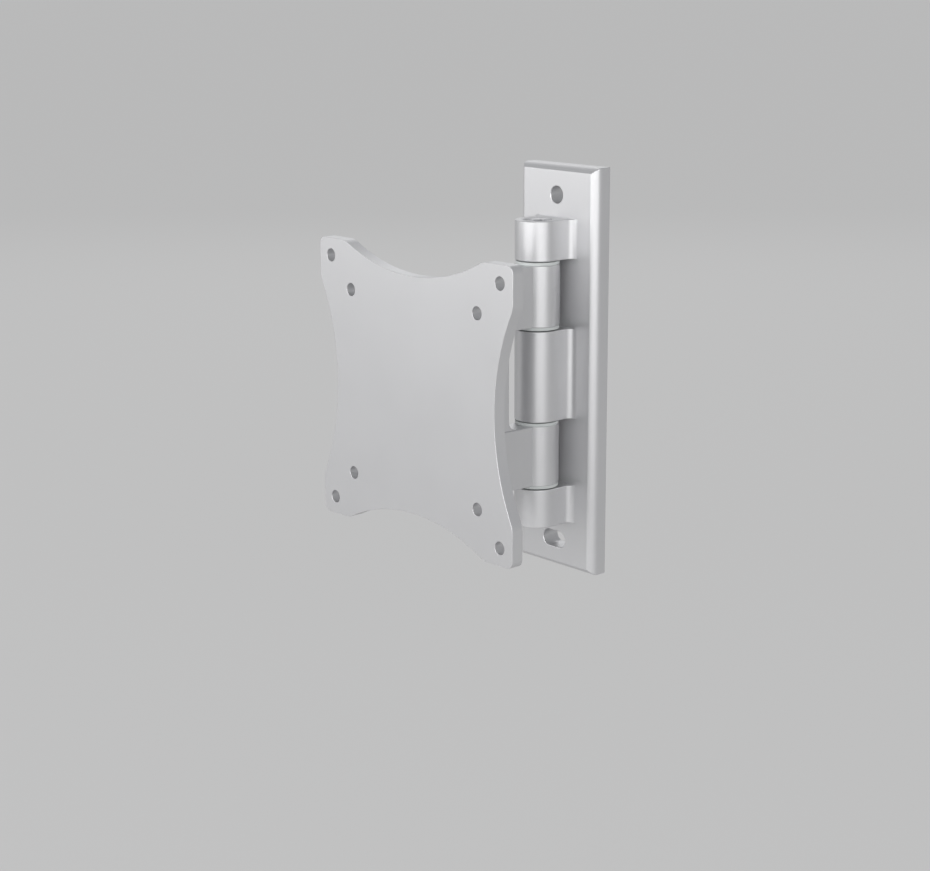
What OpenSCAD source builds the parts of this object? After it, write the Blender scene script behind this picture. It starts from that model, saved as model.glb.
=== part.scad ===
// Monitor wall arm: a wall bracket, a swivel arm on one upright hinge and a tilting screen plate.
// Millimetres, +Z up. The origin is the centre of the wall plate's back face, so the wall is
// the plane y = 0 and the arm reaches towards -Y.

/* [Wall bracket] */
// Height of the wall plate
wall_h = 168.5; // [142:0.5:220]
// Width of the wall plate
wall_w = 43.5; // [36:0.5:60]
// Thickness of the wall plate
wall_t = 8.4; // [7:0.1:12]
// How far the rounded border comes in over the front face
border_in = 2.5; // [1:0.1:3.5]
// How far the rounded border runs back along the side
border_back = 4.2; // [3.6:0.1:6]
// How far the plate runs on past the top and the bottom knuckle
end_land = 21; // [17:0.1:30]
// Distance from the end of the plate to the centre of a fixing hole
fixing_inset = 12; // [9:0.1:12.5]
// Diameter of the upper fixing hole and width of the lower slot
fixing_d = 7; // [4:0.1:8]
// Length of the lower slot, which lets the plate be levelled
slot_l = 13; // [8:0.1:20]

/* [Hinge] */
// Diameter of the knuckles and of the arm's barrels
knuckle_d = 18.4; // [17:0.1:24]
// Gap between the arm's barrels and the wall plate
barrel_gap = 1.3; // [0.5:0.1:4]
// Height of the top and the bottom knuckle
end_knuckle_h = 16.1; // [14:0.1:20]
// Height of each of the arm's two barrels
barrel_h = 25; // [21:0.1:28]
// Radius of the fillet where a knuckle meets the wall plate
foot_r = 3.2; // [1:0.1:4]
// Radial gap round the washer in the top knuckle's counterbore
recess_room = 0.5; // [0.3:0.1:1]
// How far the nut lies inside the bottom knuckle
nut_inset = 3; // [2.6:0.1:4]

/* [Bushes] */
// Thickness of a bush flange, which spaces the knuckles
flange_t = 1.3; // [1:0.1:2.5]
// How far a bush flange lies inside the barrel's outline
flange_inset = 0.2; // [0:0.1:2]
// Outer diameter of a bush sleeve
sleeve_d = 10; // [9:0.1:11]
// Length of a bush sleeve
sleeve_l = 9; // [5:0.1:10]

/* [Arm] */
// Thickness of the arm's webs
web_t = 10.8; // [8:0.1:14]
// Thickness of the upright that joins the webs
upright_t = 9.2; // [5:0.1:10]
// Gap between the middle knuckle and the upright
upright_gap = 10.4; // [4:0.1:16]
// Depth of the upright, front to back
upright_d = 8.4; // [5:0.1:12]
// Distance from the front of the upright to the tilt axis
neck_l = 19.5; // [16:0.1:40]
// Diameter of the tilt barrel
nose_d = 19; // [17:0.1:22]
// Width of the tilt barrel
nose_w = 32; // [26:0.1:40]
// Thickness of the flared fin that braces the tilt barrel
fin_t = 8; // [4:0.1:12]

/* [Screen plate] */
// Distance from the outer screen holes to the edge of the plate
plate_margin = 7; // [5:0.1:12]
// Thickness of the screen plate
plate_t = 5.2; // [4:0.1:8]
// Spacing of the outer screen holes
outer_span = 100; // [100:1:120]
// Spacing of the inner screen holes
inner_span = 75; // [70:1:75]
// Diameter of the screen holes
screen_hole_d = 5.2; // [4.5:0.1:6]
// Depth of the concave sides at their middle
waist_in = 10; // [4:0.1:12]
// Radius of the concave sides
waist_r = 89; // [74:1:110]
// Radius that blends a concave side into its corners
shoulder_r = 10; // [6:0.5:12]
// Radius of the four corners
corner_r = 3; // [1:0.5:5]
// Gap between the tilt barrel and the back of the screen plate
nose_gap = 4.1; // [3:0.1:10]
// Thickness of the ears that hold the tilt barrel
ear_t = 4.5; // [3:0.1:7]
// How far the ears' round ends stand out past the tilt barrel
ear_over = 1.5; // [0.5:0.1:3]
// Radius of the fillet where an ear meets the plate
ear_root_r = 3; // [1:0.1:5]

/* [Fasteners] */
// Diameter of the two bolts
bolt_d = 6; // [5:0.1:7.2]
// Diameter of a button head
head_d = 10.5; // [9:0.1:10.8]
// Height of a button head
head_h = 3.3; // [2.7:0.1:4]
// Width across flats of a hexagon socket
socket_af = 4; // [3:0.1:4.8]
// Depth of a hexagon socket
socket_h = 2; // [1:0.1:2.4]
// Width across flats of a nut
nut_af = 10; // [8.4:0.1:12]
// Height of a nut with its locking collar
nut_h = 6; // [4:0.1:7.2]
// Diameter of a plain washer
washer_d = 11; // [10.5:0.1:12]
// How far a bolt's tip stands out past its nut
tip_over = 1.5; // [0.5:0.1:2.5]
// Thickness of a plain washer
washer_t = 1.6; // [1:0.1:2]
// Height of a disc spring
disc_h = 1.7; // [1.3:0.1:2.1]
// Sheet thickness of a disc spring
disc_t = 0.9; // [0.5:0.1:1.2]

/* [Fits] */
// Radial clearance of a bolt in a bush or a nut
run_fit = 0.05; // [0.02:0.01:0.1]
// Radial clearance of a bolt in a drilled casting or a washer
drill_fit = 0.2; // [0.1:0.01:0.5]
// Gap between a bush flange and the part that turns past it
end_play = 0.4; // [0.05:0.01:0.5]
// Gap between the nut and the pocket that holds it
pocket_fit = 0.1; // [0.05:0.01:0.2]
// Radial gap drawn between a pressed sleeve and its bore
press_fit = 0.02; // [0:0.01:0.05]

/* [Hidden] */
$fn = 96;
eps = 0.01;
// Heights along the hinge, from the middle outwards
flange_room = flange_t + end_play;
knuckle_high = wall_h / 2 - end_land;
knuckle_low = knuckle_high - end_knuckle_h;
barrel_high = knuckle_low - flange_room;
barrel_low = barrel_high - barrel_h;
mid_high = barrel_low - flange_room;
recess_h = washer_t + disc_h + head_h;
recess_d = washer_d + 2 * recess_room;
head_seat = knuckle_high - recess_h;
nut_top = -knuckle_high + nut_inset + nut_h;
hinge_bolt_l = knuckle_high - head_h - (nut_top - nut_h) + tip_over;
fixing_z = wall_h / 2 - fixing_inset;
// Depths, from the wall outwards
hinge_y = -(wall_t + barrel_gap + knuckle_d / 2);
upright_back = knuckle_d / 2 + upright_gap;
upright_front = upright_back + upright_d;
arm_corner_r = 12;
window_r = 4;
neck_r = 10;
arm_reach = upright_front + neck_l;
fin_bite = nose_d / 4;
fin_end = arm_reach - fin_bite;
tilt_y = hinge_y - arm_reach;
plate_back_y = tilt_y - nose_d / 2 - nose_gap;
plate_size = outer_span + 2 * plate_margin;
// Places along the tilt axis
ear_in = nose_w / 2 + flange_room;
ear_out = ear_in + ear_t;
tilt_head_x = ear_out + washer_t;
tilt_nut_x = -(ear_out + washer_t + disc_h);
tilt_bolt_l = tilt_head_x - tilt_nut_x + nut_h + tip_over;
flange_d = min(knuckle_d, nose_d) - 2 * flange_inset;

// A slot with round ends along X
module slot(length, width) {
    reach = (length - width) / 2;
    square([2 * reach, width], center = true);
    for (side = [-1, 1]) translate([side * reach, 0]) circle(d = width);
}

// A square with round corners
module rounded_square(size, r) {
    square([size, size - 2 * r], center = true);
    square([size - 2 * r, size], center = true);
    for (x = [-1, 1], y = [-1, 1]) translate([x, y] * (size / 2 - r)) circle(r);
}

// The filler of an inside corner at the origin, which opens towards +X and +Y
module inside_fillet(r) {
    difference() {
        translate([-eps, -eps]) square(r + eps);
        translate([r, r]) circle(r);
    }
}

// A six-sided bar that stands on z = 0
module hexagon(across_flats, height) {
    cylinder(d = across_flats / cos(30), h = height, $fn = 6);
}

// A round hole through the origin along Y, longer than the wall it passes
module y_hole(d, depth) {
    rotate([90, 0, 0]) cylinder(d = d, h = 2 * depth, center = true);
}

// The wall plate's section: flat back on y = 0, upright sides, and a border that rounds over
// to the front. The border's arc leaves the side squarely and meets the front at a crease.
module plate_section(size) {
    border_r = (border_in * border_in + border_back * border_back) / (2 * border_in);
    difference() {
        translate([-size / 2, 0]) square([size, wall_t]);
        for (side = [-1, 1]) translate([side * size / 2, wall_t - border_back]) difference() {
            translate([side * (1 - border_in), border_back + 1] / 2)
                square([border_in + 1, border_back + 1], center = true);
            translate([-side * border_r, 0]) circle(border_r);
        }
    }
}

// The wall plate without its holes. The section runs both ways, so that the borders mitre.
module wall_plate() {
    intersection() {
        translate([0, 0, -wall_h / 2]) linear_extrude(wall_h) mirror([0, 1]) plate_section(wall_w);
        translate([-wall_w / 2, 0, 0]) rotate([90, 0, 90]) linear_extrude(wall_w)
            rotate(90) plate_section(wall_h);
    }
}

// One wall knuckle: a round nose about the hinge axis with flat cheeks that run back and
// flare on to the plate
module knuckle(low, high) {
    cheek = knuckle_d / 2;
    translate([0, 0, low]) linear_extrude(high - low) {
        translate([0, hinge_y]) circle(cheek);
        translate([-cheek, hinge_y]) square([knuckle_d, -wall_t - hinge_y + 1]);
        for (side = [0, 1]) mirror([side, 0])
            translate([cheek, -wall_t]) mirror([0, 1]) inside_fillet(foot_r);
    }
}

// The wall bracket, cast in one piece and drilled from above: bolt bore, counterbore for the
// head, six-sided pocket for the nut, one round fixing hole and one slot
module wall_bracket() color("silver") difference() {
    union() {
        wall_plate();
        knuckle(knuckle_low, knuckle_high);
        knuckle(-mid_high, mid_high);
        knuckle(-knuckle_high, -knuckle_low);
    }
    translate([0, hinge_y, 0])
        cylinder(d = bolt_d + 2 * drill_fit, h = 2 * knuckle_high + 2, center = true);
    translate([0, hinge_y, head_seat]) cylinder(d = recess_d, h = recess_h + 1);
    translate([0, hinge_y, -knuckle_high - 1])
        hexagon(nut_af + 2 * pocket_fit, nut_top + knuckle_high + 1);
    translate([0, 0, fixing_z]) y_hole(fixing_d, wall_t + 1);
    translate([0, 1, -fixing_z]) rotate([90, 0, 0]) linear_extrude(wall_t + 2)
        slot(slot_l, fixing_d);
}

// Stands a side view up about the upright line at y: its X becomes the forward reach, its Y
// becomes the height, and it gets the given thickness about x = 0
module stand_up(y, thickness) {
    translate([0, y, 0]) rotate([90, 0, -90]) linear_extrude(thickness, center = true) children();
}

// The arm from the side: a C of two webs and the upright, and a neck to the tilt barrel
module arm_side() {
    difference() {
        union() {
            square([2 * (upright_front - arm_corner_r), 2 * barrel_high], center = true);
            translate([0, arm_corner_r - barrel_high])
                square([upright_front, 2 * (barrel_high - arm_corner_r)]);
            for (side = [-1, 1])
                translate([upright_front - arm_corner_r, side * (barrel_high - arm_corner_r)])
                circle(arm_corner_r);
            translate([upright_back, -nose_d / 2]) square([arm_reach - upright_back, nose_d]);
            for (side = [0, 1]) mirror([0, side])
                translate([upright_front, nose_d / 2]) inside_fillet(neck_r);
        }
        translate([-2 * upright_front, -2 * barrel_high])
            square([2 * upright_front, 4 * barrel_high]);
        difference() {
            translate([-1, -barrel_low]) square([upright_back + 1, 2 * barrel_low]);
            for (side = [0, 1]) mirror([0, side])
                translate([upright_back, -barrel_low]) mirror([1, 0]) inside_fillet(window_r);
        }
    }
}

// The flared fin from above, which braces both ends of the tilt barrel against the neck
module fin_plan() {
    flare = (nose_w - upright_t) / 2;
    run = fin_end - upright_front;
    flare_r = (flare * flare + run * run) / (2 * flare);
    difference() {
        translate([-nose_w / 2, upright_front]) square([nose_w, arm_reach - upright_front]);
        for (side = [-1, 1])
            translate([side * (upright_t / 2 + flare_r), upright_front]) circle(flare_r);
    }
}

// The bore for a bush sleeve, sunk from z = 0 downwards a little deeper than the sleeve
module sleeve_bore() {
    depth = sleeve_l + 0.5;
    translate([0, 0, -depth]) cylinder(d = sleeve_d + 2 * press_fit, h = depth + 1);
}

// The swivel arm, cast in one piece and bored at both ends of every barrel for a bush
module swivel_arm() color("silver") difference() {
    union() {
        for (low = [barrel_low, -barrel_high])
            translate([0, hinge_y, low]) cylinder(d = knuckle_d, h = barrel_h);
        stand_up(hinge_y, upright_t) arm_side();
        stand_up(hinge_y, web_t) difference() {
            arm_side();
            square([3 * arm_reach, 2 * barrel_low], center = true);
        }
        translate([0, tilt_y, 0]) rotate([0, 90, 0]) cylinder(d = nose_d, h = nose_w, center = true);
        translate([0, hinge_y, 0]) mirror([0, 1, 0]) linear_extrude(fin_t, center = true) fin_plan();
    }
    translate([0, hinge_y, 0])
        cylinder(d = bolt_d + 2 * drill_fit, h = 2 * barrel_high + 2, center = true);
    for (side = [0, 1]) mirror([0, 0, side]) {
        translate([0, hinge_y, barrel_high]) sleeve_bore();
        translate([0, hinge_y, barrel_low]) mirror([0, 0, 1]) sleeve_bore();
    }
    translate([0, tilt_y, 0]) rotate([0, 90, 0]) {
        cylinder(d = bolt_d + 2 * drill_fit, h = nose_w + 2, center = true);
        for (side = [0, 1]) mirror([0, 0, side]) translate([0, 0, nose_w / 2]) sleeve_bore();
    }
}

// What one concave side cuts away, at the top of the outline: a sector of the large circle up
// to where it touches each shoulder circle, and from there the space outside the shoulder
module waist_cut() {
    half = plate_size / 2;
    waist_c = half - waist_in + waist_r;
    shoulder_x = sqrt(waist_in * (2 * (waist_r + shoulder_r) - waist_in));
    shoulder_y = half - shoulder_r;
    over_x = shoulder_x * (waist_c - half - 1) / (waist_c - shoulder_y);
    intersection() {
        translate([0, waist_c]) circle(waist_r, $fn = 2 * $fn);
        polygon([[0, waist_c], [-shoulder_x, shoulder_y], [shoulder_x, shoulder_y]]);
    }
    for (side = [0, 1]) mirror([side, 0]) difference() {
        polygon([[shoulder_x, shoulder_y], [shoulder_x, half + 1], [over_x, half + 1]]);
        translate([shoulder_x, shoulder_y]) circle(shoulder_r);
    }
}

// The screen plate from the front: a square with round corners and four concave sides
module screen_outline() {
    difference() {
        rounded_square(plate_size, corner_r);
        for (turn = [0:90:270]) rotate(turn) waist_cut();
    }
}

// An ear from the side, with the tilt axis at the origin: a round end, straight edges to the
// back of the plate, and a fillet at each root
module ear_side() {
    reach = tilt_y - plate_back_y;
    ear_r = nose_d / 2 + ear_over;
    circle(ear_r);
    translate([0, -ear_r]) square([reach + 1, 2 * ear_r]);
    for (side = [0, 1]) mirror([0, side])
        translate([reach, ear_r]) mirror([1, 0]) inside_fillet(ear_root_r);
}

// The screen plate with its eight plain screw holes and its two bored ears
module vesa_plate() color("silver") difference() {
    union() {
        translate([0, plate_back_y, 0]) rotate([90, 0, 0]) linear_extrude(plate_t)
            screen_outline();
        for (side = [-1, 1]) translate([side * (ear_in + ear_out) / 2, 0, 0])
            stand_up(tilt_y, ear_t) ear_side();
    }
    for (span = [outer_span, inner_span], x = [-1, 1], z = [-1, 1])
        translate([x * span / 2, plate_back_y, z * span / 2]) y_hole(screen_hole_d, plate_t + 1);
    translate([0, tilt_y, 0]) rotate([0, 90, 0])
        cylinder(d = bolt_d + 2 * drill_fit, h = 2 * ear_out + 2, center = true);
}

// A button head screw: the head's dome stands on z = 0 and the shank runs down from there
module button_bolt(length) {
    rim = 0.6;
    tip = 0.8;
    dome_r = (pow(head_d / 2, 2) + pow(head_h - rim, 2)) / (2 * (head_h - rim));
    difference() {
        intersection() {
            cylinder(d = head_d, h = head_h);
            translate([0, 0, head_h - dome_r]) sphere(dome_r);
        }
        translate([0, 0, head_h - socket_h]) hexagon(socket_af, socket_h + 1);
    }
    translate([0, 0, tip - length]) cylinder(d = bolt_d, h = length - tip + eps);
    translate([0, 0, -length]) cylinder(d1 = bolt_d - 2 * tip, d2 = bolt_d, h = tip);
}

// A locking nut: a hexagon on z = 0 with its corners turned off, and its round collar above
module lock_nut() {
    collar_h = 0.3 * nut_h;
    collar_d = nut_af - 1;
    hex_h = nut_h - collar_h;
    corner_r = nut_af / 2 / cos(30);
    turned = corner_r - nut_af / 2;
    difference() {
        union() {
            intersection() {
                hexagon(nut_af, hex_h);
                rotate_extrude() polygon([
                    [0, 0], [nut_af / 2, 0], [corner_r + eps, turned / 2],
                    [corner_r + eps, hex_h - turned / 2], [nut_af / 2, hex_h], [0, hex_h]
                ]);
            }
            cylinder(d = collar_d, h = nut_h);
        }
        translate([0, 0, -1]) cylinder(d = bolt_d + 2 * run_fit, h = nut_h + 2);
    }
}

// A plain washer on z = 0
module washer() {
    difference() {
        cylinder(d = washer_d, h = washer_t);
        translate([0, 0, -1]) cylinder(d = bolt_d + 2 * drill_fit, h = washer_t + 2);
    }
}

// A disc spring: a sprung cone that stands on its outer edge at z = 0
module disc_spring() {
    bore_r = bolt_d / 2 + drill_fit;
    rim_inset = 0.2;
    rim_r = washer_d / 2 - rim_inset;
    rotate_extrude() polygon([
        [rim_r, 0], [rim_r, disc_t], [bore_r, disc_h], [bore_r, disc_h - disc_t]
    ]);
}

// A flanged bush: the flange stands on z = 0 and the pressed sleeve runs down from there
module bush() {
    difference() {
        union() {
            cylinder(d = flange_d, h = flange_t);
            translate([0, 0, -sleeve_l]) cylinder(d = sleeve_d, h = sleeve_l + eps);
        }
        translate([0, 0, -sleeve_l - 1])
            cylinder(d = bolt_d + 2 * run_fit, h = sleeve_l + flange_t + 2);
    }
}

// Puts a part that is drawn about +Z on the hinge axis at height z
module on_hinge(z) {
    translate([0, hinge_y, z]) children();
}

// Puts a part that is drawn about +Z on the tilt axis at x, with its +Z turned to +X
module on_tilt(x) {
    translate([x, tilt_y, 0]) rotate([0, 90, 0]) children();
}

// The hinge bolt and what it clamps: washer and disc spring in the top knuckle's counterbore,
// nut in the bottom knuckle's pocket
module hinge_bolt() color("dimgray") on_hinge(head_seat + washer_t + disc_h)
    button_bolt(hinge_bolt_l);

module hinge_nut() color("dimgray") on_hinge(nut_top) mirror([0, 0, 1]) lock_nut();

module hinge_washer() color("dimgray") on_hinge(head_seat) washer();

module hinge_disc_spring() color("dimgray") on_hinge(head_seat + washer_t) disc_spring();

// Four bushes, one pressed into each end of each hinge barrel
module bush_upper_top() color("gainsboro") on_hinge(barrel_high) bush();

module bush_upper_bottom() color("gainsboro") on_hinge(barrel_low) mirror([0, 0, 1]) bush();

module bush_lower_top() color("gainsboro") on_hinge(-barrel_low) bush();

module bush_lower_bottom() color("gainsboro") on_hinge(-barrel_high) mirror([0, 0, 1]) bush();

// The tilt bolt and what it clamps: a washer under its head at +X, and a washer, a disc spring
// and the nut at -X
module tilt_bolt() color("dimgray") on_tilt(tilt_head_x) button_bolt(tilt_bolt_l);

module tilt_nut() color("dimgray") on_tilt(tilt_nut_x) mirror([0, 0, 1]) lock_nut();

module tilt_washer_head() color("dimgray") on_tilt(ear_out) washer();

module tilt_washer_nut() color("dimgray") on_tilt(-ear_out) mirror([0, 0, 1]) washer();

module tilt_disc_spring() color("dimgray") on_tilt(-ear_out - washer_t) mirror([0, 0, 1])
    disc_spring();

// Two bushes, one pressed into each end of the tilt barrel
module tilt_bush_left() color("gainsboro") on_tilt(-nose_w / 2) mirror([0, 0, 1]) bush();

module tilt_bush_right() color("gainsboro") on_tilt(nose_w / 2) bush();

wall_bracket();
swivel_arm();
vesa_plate();
hinge_bolt();
hinge_nut();
hinge_washer();
hinge_disc_spring();
bush_upper_top();
bush_upper_bottom();
bush_lower_top();
bush_lower_bottom();
tilt_bolt();
tilt_nut();
tilt_washer_head();
tilt_washer_nut();
tilt_disc_spring();
tilt_bush_left();
tilt_bush_right();
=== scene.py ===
# A short cast wall arm for a monitor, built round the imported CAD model. Metres, and the CAD's
# own frame: the wall is y = 0, +Z is up along the hinge and the screen plate faces -Y.
import math

import bmesh
import bpy
from mathutils import Matrix, Vector


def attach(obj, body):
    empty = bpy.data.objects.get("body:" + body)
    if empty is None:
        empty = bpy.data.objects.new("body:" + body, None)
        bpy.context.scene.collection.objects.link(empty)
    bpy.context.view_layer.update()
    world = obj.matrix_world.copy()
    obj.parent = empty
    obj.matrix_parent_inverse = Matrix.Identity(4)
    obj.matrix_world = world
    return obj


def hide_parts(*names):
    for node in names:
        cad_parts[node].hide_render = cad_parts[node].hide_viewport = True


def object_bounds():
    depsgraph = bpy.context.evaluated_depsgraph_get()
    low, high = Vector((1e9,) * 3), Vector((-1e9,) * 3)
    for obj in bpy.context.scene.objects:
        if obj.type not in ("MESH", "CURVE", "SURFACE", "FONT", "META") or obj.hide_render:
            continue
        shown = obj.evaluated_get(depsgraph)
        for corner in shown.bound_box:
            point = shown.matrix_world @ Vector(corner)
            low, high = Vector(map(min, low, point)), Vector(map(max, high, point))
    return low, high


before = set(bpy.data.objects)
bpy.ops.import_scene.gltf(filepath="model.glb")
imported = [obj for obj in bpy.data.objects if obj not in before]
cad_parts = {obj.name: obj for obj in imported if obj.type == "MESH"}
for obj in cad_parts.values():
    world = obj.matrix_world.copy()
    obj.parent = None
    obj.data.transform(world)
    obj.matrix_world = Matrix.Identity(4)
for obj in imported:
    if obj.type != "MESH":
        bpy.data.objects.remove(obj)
cad_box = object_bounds()
MM = 0.001


# Wall bracket: a wall plate and three hinge knuckles, die-cast in aluminium in one piece, with
# its edges tumbled round and a satin silver lacquer over everything. Two screws hold it.
CAST_EDGE = 0.3 * MM
CAST_COLOUR = (0.70, 0.70, 0.71, 1)
CAST_SHADE = (0.64, 0.64, 0.65, 1)
FLOW_SIZE = 28 * MM
FLAKE_SIZE = 0.22 * MM
PEEL_SIZE = 0.9 * MM
PEEL_DEPTH = 0.006 * MM
MERGE_GAP = 0.002 * MM
WELD_GAP = 0.001 * MM
FLAT_WITHIN = math.radians(0.3)
SHARP_FROM = math.radians(32)
CREASE_FROM = math.radians(20)
EDGE_STEPS = 3
SPARE_ROOM = 1.3


class Value:
    """What comes out of a node. Ordinary arithmetic on it adds Math nodes."""

    def __init__(self, net, socket):
        self.net = net
        self.socket = socket

    def __add__(self, other):
        return self.net.math("ADD", self, other)

    def __sub__(self, other):
        return self.net.math("SUBTRACT", self, other)

    def __rsub__(self, other):
        return self.net.math("SUBTRACT", other, self)

    def __mul__(self, other):
        return self.net.math("MULTIPLY", self, other)

    def __truediv__(self, other):
        return self.net.math("DIVIDE", self, other)

    __radd__ = __add__
    __rmul__ = __mul__


class Net:
    """A node tree. One method makes any node: its type, its settings, then its sockets."""

    def __init__(self, tree):
        self.tree = tree

    def feed(self, socket, value):
        if isinstance(value, Value):
            self.tree.links.new(value.socket, socket)
        else:
            socket.default_value = value

    def node(self, kind, settings=None, *terms, **inputs):
        made = self.tree.nodes.new(kind)
        for key, value in (settings or {}).items():
            setattr(made, key, value)
        for index, value in enumerate(terms):
            self.feed(made.inputs[index], value)
        for key, value in inputs.items():
            self.feed(made.inputs[key.replace("_", " ")], value)
        return {socket.name: Value(self, socket) for socket in made.outputs if socket.enabled}

    def math(self, operation, *terms):
        return self.node("ShaderNodeMath", {"operation": operation}, *terms)["Value"]


class Finish(Net):
    """A procedural finish on a Principled shader, patterned on the piece's own coordinates."""

    def __init__(self, name, constants):
        self.material = bpy.data.materials.new(name)
        self.material.use_nodes = True
        super().__init__(self.material.node_tree)
        self.shader = self.tree.nodes["Principled BSDF"]
        self.set(constants)
        self.place = self.node("ShaderNodeTexCoord")["Object"]

    def set(self, inputs):
        for key, value in inputs.items():
            self.feed(self.shader.inputs[key], value)

    def noise(self, size, detail=2.0):
        """Noise from 0 to 1 whose blots are about this size."""
        made = self.node(
            "ShaderNodeTexNoise", {}, Vector=self.place, Scale=1 / size, Detail=detail
        )
        return made["Fac"]

    def bump(self, height, depth):
        """Relief of this depth in metres where height is 1."""
        made = self.node("ShaderNodeBump", {}, Height=height, Distance=depth)
        self.set({"Normal": made["Normal"]})

    def between(self, low, high, amount):
        """A colour that goes from low to high as amount goes from 0 to 1."""
        made = self.node("ShaderNodeMix", {"data_type": "RGBA"}, Factor=amount, A=low, B=high)
        return made["Result"]


silver = Finish("satin_silver_lacquer", {"Metallic": 0.72})
flow = silver.noise(FLOW_SIZE, 3)
flake = silver.noise(FLAKE_SIZE, 1)
silver.set({
    "Base Color": silver.between(CAST_SHADE, CAST_COLOUR, 0.35 + flow * 0.5 + flake * 0.15),
    "Roughness": 0.33 + flow * 0.05 + flake * 0.04,
})
silver.bump(silver.noise(PEEL_SIZE, 2) * 0.8 + flake * 0.2, PEEL_DEPTH)


def merged_form(node):
    """The frame piece's mesh with its triangles joined up into whole faces."""
    form = bmesh.new()
    form.from_mesh(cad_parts[node].data)
    bmesh.ops.remove_doubles(form, verts=form.verts, dist=MERGE_GAP)
    bmesh.ops.dissolve_limit(form, angle_limit=FLAT_WITHIN, verts=form.verts, edges=form.edges)
    return form


def has_room(edge, radius):
    """Whether this edge can be rounded without running into another edge of its faces."""
    middle = (edge.verts[0].co + edge.verts[1].co) / 2
    for face in edge.link_faces:
        for other in face.edges:
            start, end = (vert.co for vert in other.verts)
            if edge.verts[0] in other.verts or edge.verts[1] in other.verts:
                continue
            share = (middle - start).dot(end - start) / (end - start).length_squared
            nearest = start + (end - start) * min(max(share, 0), 1)
            if (nearest - middle).length < SPARE_ROOM * radius:
                return False
    return True


def finished(form, node, radius, finish, sharp=SHARP_FROM):
    """A piece from this form: outside edges that turn by more than sharp are rounded to this
    radius where there is room, and other creases stay crisp."""
    bmesh.ops.recalc_face_normals(form, faces=form.faces)
    weight = form.edges.layers.float.new("bevel_weight_edge")
    for edge in form.edges:
        edge[weight] = float(edge.calc_face_angle_signed() > sharp and has_room(edge, radius))
    mesh = bpy.data.meshes.new(node)
    form.to_mesh(mesh)
    form.free()
    mesh.materials.append(finish.material)
    mesh.shade_smooth()
    mesh.set_sharp_from_angle(angle=CREASE_FROM)
    piece = bpy.data.objects.new(node + "_finished", mesh)
    bpy.context.collection.objects.link(piece)
    bevel = piece.modifiers.new("rounded_edges", "BEVEL")
    bevel.width = radius
    bevel.segments = EDGE_STEPS
    bevel.limit_method = "WEIGHT"
    bevel.use_clamp_overlap = False
    weld = piece.modifiers.new("welded_corners", "WELD")
    weld.merge_threshold = WELD_GAP
    return piece


def flatten_faces(piece):
    """Keeps the flat faces flat in the shading, right up to their rounded edges."""
    flat = piece.modifiers.new("flat_faces", "WEIGHTED_NORMAL")
    flat.keep_sharp = True
    return piece


def fit(piece, node, body):
    """Puts a finished piece in the place of its frame piece."""
    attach(piece, body)
    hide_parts(node)


bracket = finished(merged_form("wall_bracket"), "wall_bracket", CAST_EDGE, silver)
fit(flatten_faces(bracket), "wall_bracket", "wall")


# Swivel arm: two barrels, two webs, an upright and the tilt barrel, die-cast in one piece like
# the bracket and with the same lacquer. It turns between the knuckles on the hinge bolt.
arm = finished(merged_form("swivel_arm"), "swivel_arm", CAST_EDGE, silver)
fit(flatten_faces(arm), "swivel_arm", "arm")


# Screen plate: a flat casting with four concave sides, eight drilled holes and two ears behind
# it that take the tilt bolt. It has the same lacquer, and its edges are crisper.
PLATE_EDGE = 0.12 * MM
WAIST_IN = 10 * MM
WAIST_R = 89 * MM
WAIST_CUTS = 5
WAIST_SLACK = 0.01 * MM
UPRIGHT_BELOW = 0.5


def finer_waists(form):
    """Cuts the four long concave sides finer, with the new points on the true arcs. Only the
    rims of the side walls are cut, whose normals have little of the Y direction in them."""
    out = max(corner.co.x for corner in form.verts) - WAIST_IN + WAIST_R
    for x, z in ((1, 0), (-1, 0), (0, 1), (0, -1)):
        centre = Vector((x * out, 0, z * out))

        def spoke(vert):
            return Vector((vert.co.x, 0, vert.co.z)) - centre

        def runs_along(edge):
            one, other = edge.verts
            on_arc = all(abs(spoke(end).length - WAIST_R) < WAIST_SLACK for end in edge.verts)
            level = abs(one.co.y - other.co.y) < WAIST_SLACK
            by_wall = any(abs(side.normal.y) < UPRIGHT_BELOW for side in edge.link_faces)
            return on_arc and level and by_wall

        along = [edge for edge in form.edges if runs_along(edge)]
        cut = bmesh.ops.subdivide_edges(form, edges=along, cuts=WAIST_CUTS, use_grid_fill=True)
        for vert in cut["geom_inner"]:
            if isinstance(vert, bmesh.types.BMVert):
                on_arc = centre + spoke(vert).normalized() * WAIST_R
                vert.co = (on_arc.x, vert.co.y, on_arc.z)


plate_form = merged_form("vesa_plate")
finer_waists(plate_form)
plate = finished(plate_form, "vesa_plate", PLATE_EDGE, silver)
fit(flatten_faces(plate), "vesa_plate", "screen")


# Bushes: six flanged sleeves turned from off-white acetal and pressed into the barrel ends, so
# that only their flanges show between the castings.
BUSH_EDGE = 0.2 * MM
ACETAL_SHADE = (0.68, 0.71, 0.70, 1)
ACETAL_COLOUR = (0.76, 0.79, 0.78, 1)
CLOUD_SIZE = 4 * MM
TURNING_SIZE = 0.3 * MM
TURNING_DEPTH = 0.004 * MM
acetal = Finish("off_white_acetal", {"Roughness": 0.42, "IOR": 1.48})
acetal.set({
    "Base Color": acetal.between(ACETAL_SHADE, ACETAL_COLOUR, acetal.noise(CLOUD_SIZE))
})
acetal.bump(acetal.noise(TURNING_SIZE), TURNING_DEPTH)
for node in ("bush_upper_top", "bush_upper_bottom", "bush_lower_top", "bush_lower_bottom",
             "tilt_bush_left", "tilt_bush_right"):
    bush = finished(merged_form(node), node, BUSH_EDGE, acetal)
    fit(flatten_faces(bush), node, "arm")


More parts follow.
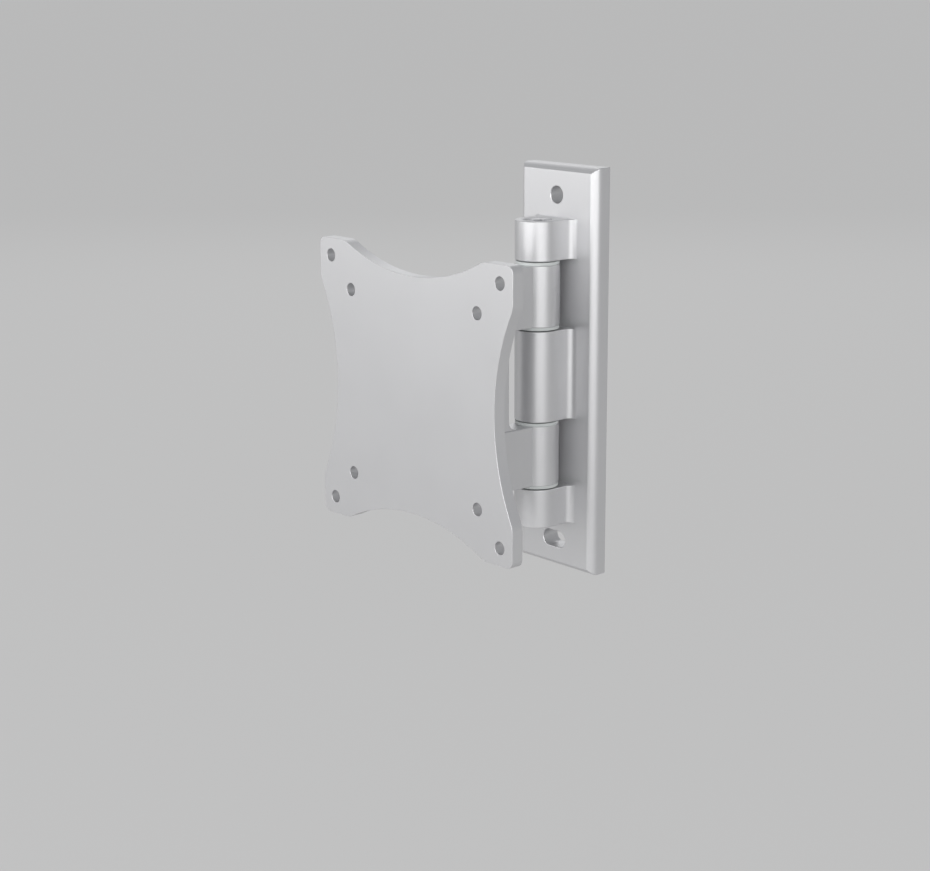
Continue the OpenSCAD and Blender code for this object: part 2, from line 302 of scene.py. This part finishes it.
# Nuts, washers and disc springs: the stack that each bolt clamps, in bright zinc-plated steel.
# The hinge's stays with the wall bracket and the tilt's with the screen plate.
STEEL_EDGE = 0.15 * MM
ZINC_SHADE = (0.50, 0.51, 0.53, 1)
ZINC_COLOUR = (0.60, 0.60, 0.61, 1)
GRAIN_SIZE = 0.35 * MM
GRAIN_DEPTH = 0.003 * MM
zinc = Finish("bright_zinc_steel", {"Metallic": 1.0})
grain = zinc.noise(GRAIN_SIZE, 3)
zinc.set({
    "Base Color": zinc.between(ZINC_SHADE, ZINC_COLOUR, grain),
    "Roughness": 0.24 + grain * 0.12,
})
zinc.bump(grain, GRAIN_DEPTH)
for body, stack in (
    ("wall", ("hinge_nut", "hinge_washer", "hinge_disc_spring")),
    ("screen", ("tilt_nut", "tilt_washer_head", "tilt_washer_nut", "tilt_disc_spring")),
):
    for node in stack:
        ring = finished(merged_form(node), node, STEEL_EDGE, zinc)
        fit(flatten_faces(ring), node, body)


# Bolts: two button head screws of the same steel, with a coarse rolled thread that shows where
# the tips stand out of their nuts. One is the hinge pin, the other the tilt pin.
BOLT_R = 3 * MM
BOLT_SHARP_FROM = math.radians(50)
THREAD_PITCH = 1.0 * MM
THREAD_DEPTH = 0.5 * MM
THREAD_RUN = 14 * MM
ROWS_PER_TURN = 8
CREST_FLAT = 1 / 8
ROOT_FLAT = 1 / 4


def rolled_thread():
    """A tree that rolls a right-hand thread into a shank whose tip stands on z = 0."""
    tree = bpy.data.node_groups.new("rolled_thread", "GeometryNodeTree")
    tree.interface.new_socket("Bolt", in_out="INPUT", socket_type="NodeSocketGeometry")
    for name in ("Radius", "Pitch", "Depth", "Run"):
        tree.interface.new_socket(name, in_out="INPUT", socket_type="NodeSocketFloat")
    tree.interface.new_socket("Steel", in_out="INPUT", socket_type="NodeSocketMaterial")
    tree.interface.new_socket("Bolt", in_out="OUTPUT", socket_type="NodeSocketGeometry")
    net = Net(tree)
    given = net.node("NodeGroupInput")
    at = net.node("ShaderNodeSeparateXYZ", {}, net.node("GeometryNodeInputPosition")["Position"])
    radius = net.math("SQRT", at["X"] * at["X"] + at["Y"] * at["Y"])
    turns = at["Z"] / given["Pitch"] - net.math("ARCTAN2", at["Y"], at["X"]) / math.tau
    wave = 1 - net.math("ABSOLUTE", 2 * net.math("FRACT", turns) - 1)
    flank = (wave - CREST_FLAT) / (1 - CREST_FLAT - ROOT_FLAT)
    groove = net.math("MINIMUM", net.math("MAXIMUM", flank, 0.0), 1.0)
    left = (given["Run"] - at["Z"]) / given["Pitch"]
    fade = net.math("MINIMUM", net.math("MAXIMUM", left, 0.0), 1.0)
    threaded_r = net.math("MINIMUM", radius, given["Radius"] - given["Depth"] * groove * fade)
    below = net.math("LESS_THAN", at["Z"], given["Run"])
    share = threaded_r / radius
    moved = net.node("ShaderNodeCombineXYZ", {}, at["X"] * share, at["Y"] * share, at["Z"])
    rolled = net.node(
        "GeometryNodeSetPosition", {}, Geometry=given["Bolt"], Selection=below,
        Position=moved["Vector"]
    )
    real = net.node("GeometryNodeRealizeInstances", {}, rolled["Geometry"])
    steel = net.node(
        "GeometryNodeSetMaterial", {}, Geometry=real["Geometry"], Material=given["Steel"]
    )
    net.node("NodeGroupOutput", {}, steel["Geometry"])
    return tree


def bolt(node, turn, thread):
    """A bolt's finished copy. It is stood on its tip for the thread and then put back."""
    form = merged_form(node)
    form.transform(turn.inverted())
    low = Vector(min(vert.co[i] for vert in form.verts) for i in range(3))
    high = Vector(max(vert.co[i] for vert in form.verts) for i in range(3))
    foot = Matrix.Translation(((low.x + high.x) / 2, (low.y + high.y) / 2, low.z))
    form.transform(foot.inverted())
    row = THREAD_PITCH / ROWS_PER_TURN
    for step in range(1, round(THREAD_RUN / row)):
        bmesh.ops.bisect_plane(
            form, geom=form.verts[:] + form.edges[:] + form.faces[:], dist=MERGE_GAP,
            plane_co=(0, 0, step * row), plane_no=(0, 0, 1)
        )
    piece = finished(form, node, STEEL_EDGE, zinc, BOLT_SHARP_FROM)
    roll = piece.modifiers.new("rolled_thread", "NODES")
    roll.node_group = thread
    sizes = {
        "Radius": BOLT_R, "Pitch": THREAD_PITCH, "Depth": THREAD_DEPTH, "Run": THREAD_RUN,
        "Steel": zinc.material,
    }
    for item in thread.interface.items_tree:
        if item.in_out == "INPUT" and item.name in sizes:
            roll[item.identifier] = sizes[item.name]
    flatten_faces(piece)
    evaluated = piece.evaluated_get(bpy.context.evaluated_depsgraph_get())
    mesh = bpy.data.meshes.new_from_object(evaluated)
    piece.modifiers.clear()
    piece.data = mesh
    mesh.transform(turn @ foot)
    return piece


thread = rolled_thread()
upright = Matrix.Identity(4)
sideways = Matrix.Rotation(math.radians(90), 4, "Y")
fit(bolt("hinge_bolt", upright, thread), "hinge_bolt", "wall")
fit(bolt("tilt_bolt", sideways, thread), "tilt_bolt", "screen")


# Floor: plain, pale and level, a hand's width under the arm. The camera and the metal see it a
# little paler than the lamps light it, and it keeps the soft shadow.
FLOOR_DROP = 0.11
FLOOR_SIZE = 120
FLOOR_COLOUR = (0.32, 0.32, 0.32, 1)
FLOOR_SHOWN = 0.42


def looked_at(net):
    """1 where the camera, a reflection or clear glass looks at a surface, and 0 for its light."""
    rays = net.node("ShaderNodeLightPath")
    return rays["Is Camera Ray"] + rays["Is Glossy Ray"] + rays["Is Transmission Ray"]


floor_mesh = bpy.data.meshes.new("floor")
half = FLOOR_SIZE / 2
floor_z = cad_box[0][2] - FLOOR_DROP
floor_mesh.from_pydata(
    [(-half, -half, floor_z), (half, -half, floor_z), (half, half, floor_z), (-half, half, floor_z)],
    [], [(0, 1, 2, 3)]
)
floor = bpy.data.objects.new("floor", floor_mesh)
bpy.context.collection.objects.link(floor)
pale = Finish("pale_floor", {"Roughness": 0.9, "Base Color": FLOOR_COLOUR})
shown = pale.node("ShaderNodeEmission", {}, Color=(1, 1, 1, 1), Strength=1.0)["Emission"]
lit = Value(pale, pale.shader.outputs["BSDF"])
surface = pale.node("ShaderNodeMixShader", {}, looked_at(pale) * FLOOR_SHOWN, lit, shown)
pale.feed(pale.tree.nodes["Material Output"].inputs["Surface"], surface["Shader"])
floor_mesh.materials.append(pale.material)


# Light: three wide soft lamps round the front, low enough for upright faces to mirror them but
# clear of the floor, a weaker one behind for the top faces, and a pale room that is seen a
# little paler than it lights.
LAMP_DISTANCE = 1.9
LAMP_AIM = Vector((0, -0.04, 0))
ROOM_COLOUR = (0.92, 0.93, 0.95, 1)
ROOM_LIGHT = 0.29
ROOM_SHOWN = 0.45


def outward(azimuth, elevation):
    """The way out from the arm. Azimuth 0 is straight in front of it, 90 degrees to the right."""
    level = math.cos(elevation)
    return Vector((math.sin(azimuth) * level, -math.cos(azimuth) * level, math.sin(elevation)))


def soft_lamp(name, azimuth, elevation, width, height, power):
    """An area lamp in this direction, in degrees, that faces the arm."""
    way = outward(math.radians(azimuth), math.radians(elevation))
    data = bpy.data.lights.new(name, "AREA")
    data.shape = "RECTANGLE"
    data.size = width
    data.size_y = height
    data.energy = power
    lamp = bpy.data.objects.new(name, data)
    facing = way.to_track_quat("Z", "Y").to_matrix().to_4x4()
    lamp.matrix_world = Matrix.Translation(LAMP_AIM + way * LAMP_DISTANCE) @ facing
    bpy.context.collection.objects.link(lamp)


soft_lamp("left_lamp", -36, 9, 1.4, 0.8, 5.6)
soft_lamp("front_lamp", -2, 9, 1.3, 0.8, 9.5)
soft_lamp("right_lamp", 54, 12, 3.2, 1.1, 26)
soft_lamp("back_lamp", -131, 26, 1.6, 1.0, 4)
world = bpy.data.worlds.new("pale_room")
world.use_nodes = True
room = Net(world.node_tree)
dim = room.node("ShaderNodeBackground", {}, Color=ROOM_COLOUR, Strength=ROOM_LIGHT)
bright = room.node("ShaderNodeBackground", {}, Color=ROOM_COLOUR, Strength=ROOM_SHOWN)
around = room.node(
    "ShaderNodeMixShader", {}, looked_at(room), dim["Background"], bright["Background"]
)
room.feed(world.node_tree.nodes["World Output"].inputs["Surface"], around["Shader"])
bpy.context.scene.world = world


# Camera: its place, direction and lens were solved from the centres of the eight screen holes,
# so that the arm stands in the frame as it does in the photograph.
CAMERA_PLACE = (0.56027, -0.55123, 0.15903)
CAMERA_AZIMUTH = math.radians(48.653)
CAMERA_ELEVATION = math.radians(13.472)
CAMERA_ROLL = math.radians(-0.21)
FOCAL_PIXELS = 1926.24
IMAGE_WIDTH = 930
back = outward(CAMERA_AZIMUTH, CAMERA_ELEVATION)
right = Vector((0, 0, 1)).cross(back).normalized()
up = back.cross(right)
turned_right = right * math.cos(CAMERA_ROLL) + up * math.sin(CAMERA_ROLL)
turned_up = up * math.cos(CAMERA_ROLL) - right * math.sin(CAMERA_ROLL)
lens = bpy.data.cameras.new("camera")
lens.sensor_width = 36
lens.lens = FOCAL_PIXELS * lens.sensor_width / IMAGE_WIDTH
lens.clip_start = 0.01
lens.clip_end = 200
camera = bpy.data.objects.new("camera", lens)
bpy.context.collection.objects.link(camera)
camera.matrix_world = (
    Matrix.Translation(CAMERA_PLACE) @ Matrix((turned_right, turned_up, back)).transposed().to_4x4()
)
bpy.context.scene.camera = camera
bpy.context.scene.view_settings.view_transform = "Standard"
